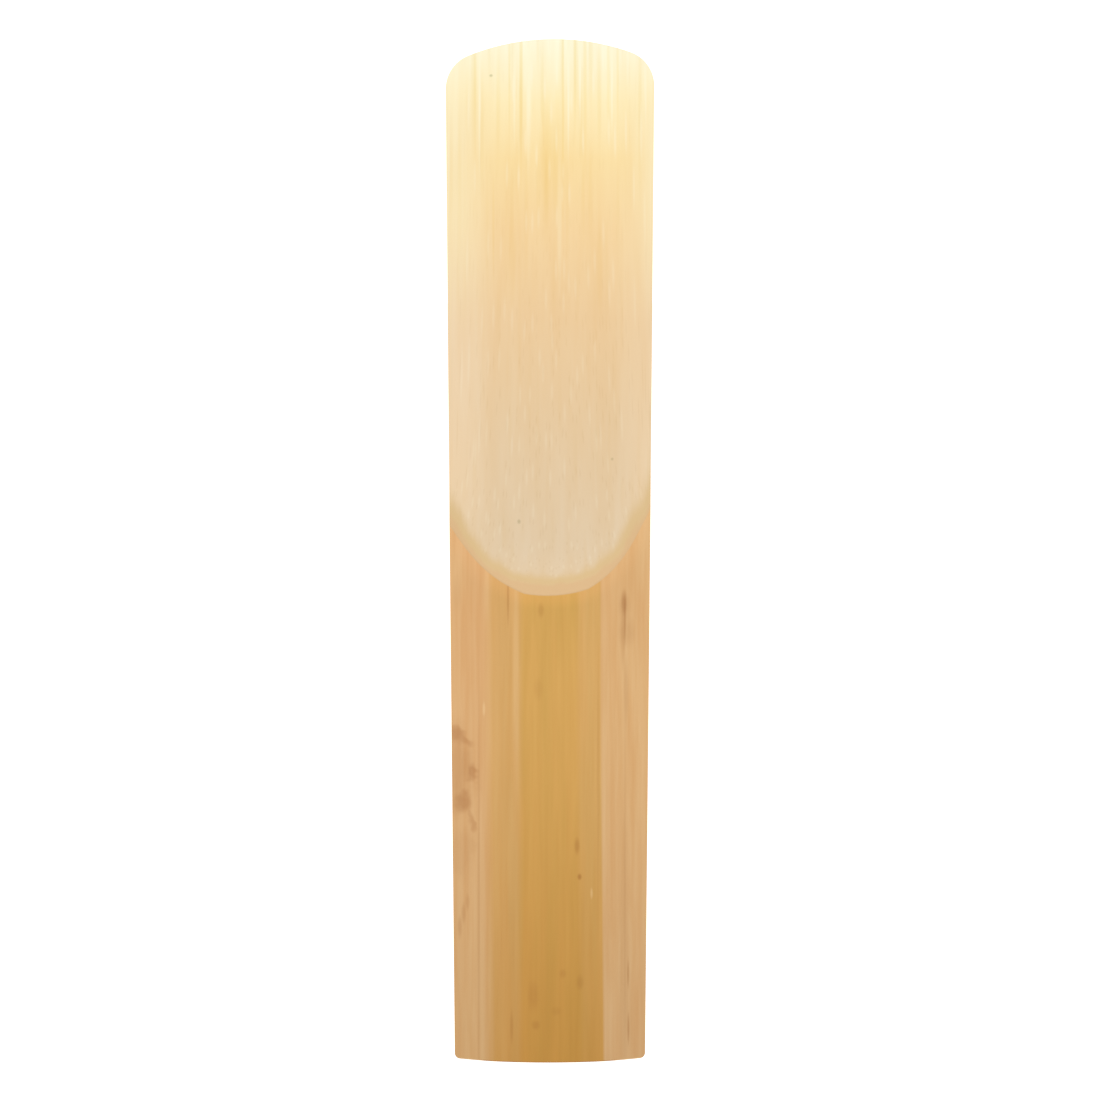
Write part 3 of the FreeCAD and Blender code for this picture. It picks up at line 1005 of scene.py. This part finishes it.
def blade_mesh(name, distances):
    """A closed mesh of the blade with a row of points at each distance behind the tip, from front to back."""
    rows = np.array([blade_row(distance) for distance in distances])
    across, along = rows[:, 0], rows[:, 1]
    top = np.dstack([across, along, vamp_height(across, LENGTH / 2 - along)]).reshape(-1, 3)
    bottom = np.dstack([across, along, np.zeros_like(across)]).reshape(-1, 3)
    return close_mesh(name, np.vstack([top, bottom]) * MM, len(distances), COLUMN_COUNT + 1)


def close_mesh(name, points, rows, columns):
    """Faces for two grids of points, one over the other, with a wall all round."""
    grid = np.arange(rows * columns).reshape(rows, columns)
    under = grid + rows * columns
    faces = []
    for row in range(rows - 1):
        for column in range(columns - 1):
            a, b = grid[row, column], grid[row, column + 1]
            c, d = grid[row + 1, column + 1], grid[row + 1, column]
            faces.append((a, d, c, b))
            faces.append(tuple(under.flat[i] for i in (a, b, c, d)))
    rim = [*grid[0], *grid[1:, -1], *grid[-1, -2::-1], *grid[-2:0:-1, 0]]
    for near, far in zip(rim, rim[1:] + rim[:1]):
        faces.append((near, far, under.flat[far], under.flat[near]))
    mesh = bpy.data.meshes.new(name)
    mesh.from_pydata(points.tolist(), [], [tuple(int(i) for i in face) for face in faces])
    rest = mesh.attributes.new(REST_PLACE, "FLOAT_VECTOR", "POINT")
    rest.data.foreach_set("vector", points.astype(np.float32).ravel())
    mesh.shade_smooth()
    mesh.set_sharp_from_angle(angle=math.radians(SHARP_FROM))
    mesh.materials.append(blade_finish)
    piece = bpy.data.objects.new(name, mesh)
    bpy.context.scene.collection.objects.link(piece)
    print(f"{name}: {len(mesh.polygons)} faces")
    return piece


# %% [markdown]
# ## Three stretches, each over one hinge
# The first stretch starts on the hinge line at the root, so that it meets the stock there without a step.
# The other two reach from the middle of one stiff piece to the middle of the next.
#
# A point on a hinge line stays put when the hinge turns. With many rows near it, the surface would have to
# swing past the line of the blade and back to get through that point, and the blade would look wavy. So
# there are rows only at the ends and on the hinge, and smooth shading rounds the bend between them. At the
# root the row lies just in front of the hinge, so that the shading starts out level with the stock.

# %% Make the blade's three stretches and hide the stiff pieces they replace
ROOT_ROW_SETBACK = 0.5
hinge_distances = [LENGTH / 2 - joint["pos_m"][1] / MM for joint in frame["joints"]]
root, middle, last = hinge_distances
front_of_root = (root + middle) / 2
front_of_heart = (middle + last) / 2
root_rows = (front_of_root, root - ROOT_ROW_SETBACK, root)
heart_rows = (front_of_heart, middle, front_of_root)
tip_rows = (0, last, front_of_heart)
stretches = [
    ("blade_root", root_rows, ("stock", "heart"), ("heart", "heart_bundles")),
    ("blade_heart", heart_rows, ("heart", "blade"), ("blade", "blade_bundles")),
    ("blade_tip", tip_rows, ("blade", "tip"), ("tip",)),
]
for name, distances, (fixed_body, moved_body), replaced in stretches:
    piece = blade_mesh(name, distances)
    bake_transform(piece)
    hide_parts(*replaced)

# %% [markdown]
# ## The floor
# A plain white board, a few millimetres below the table of the reed, so that the blade has room to bend. It
# glows a little, as paper does in a light tent, so that hardly any shadow is left on it.

# %% Lay the floor
FLOOR_SIZE = 3000.0
FLOOR_DROP = 3.0
FLOOR_GLOW = 0.6
BOARD_TONE = tone(246, 246, 246)
BOARD_ROUGHNESS = 0.9

floor_mesh = bpy.data.meshes.new("floor")
floor_reach = FLOOR_SIZE / 2 * MM
floor_points = [(x * floor_reach, y * floor_reach, 0) for x, y in ((-1, -1), (1, -1), (1, 1), (-1, 1))]
floor_mesh.from_pydata(floor_points, [], [(0, 1, 2, 3)])
floor_material = bpy.data.materials.new("white board")
floor_material.use_nodes = True
board = floor_material.node_tree.nodes["Principled BSDF"]
board.inputs["Base Color"].default_value = BOARD_TONE
board.inputs["Roughness"].default_value = BOARD_ROUGHNESS
board.inputs["Emission Color"].default_value = (1, 1, 1, 1)
board.inputs["Emission Strength"].default_value = FLOOR_GLOW
floor_mesh.materials.append(floor_material)
floor = bpy.data.objects.new("floor", floor_mesh)
floor.location = (0, 0, -FLOOR_DROP * MM)
bpy.context.scene.collection.objects.link(floor)
floor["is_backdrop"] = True
print("floor", FLOOR_DROP, "mm below the table")

# %% [markdown]
# ## Check the size and finish
# The dressed reed has to fill the same box as the frame, so both boxes are printed.

# %% Print the two boxes
visual_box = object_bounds()
boxes = {
    "cad": [list(corner) for corner in cad_box],
    "visual": [list(corner) for corner in visual_box],
}
print("frame box and dressed box in millimetres:")
for box_name, (low, high) in boxes.items():
    print(" ", box_name, [round(c / MM, 2) for c in low], [round(c / MM, 2) for c in high])
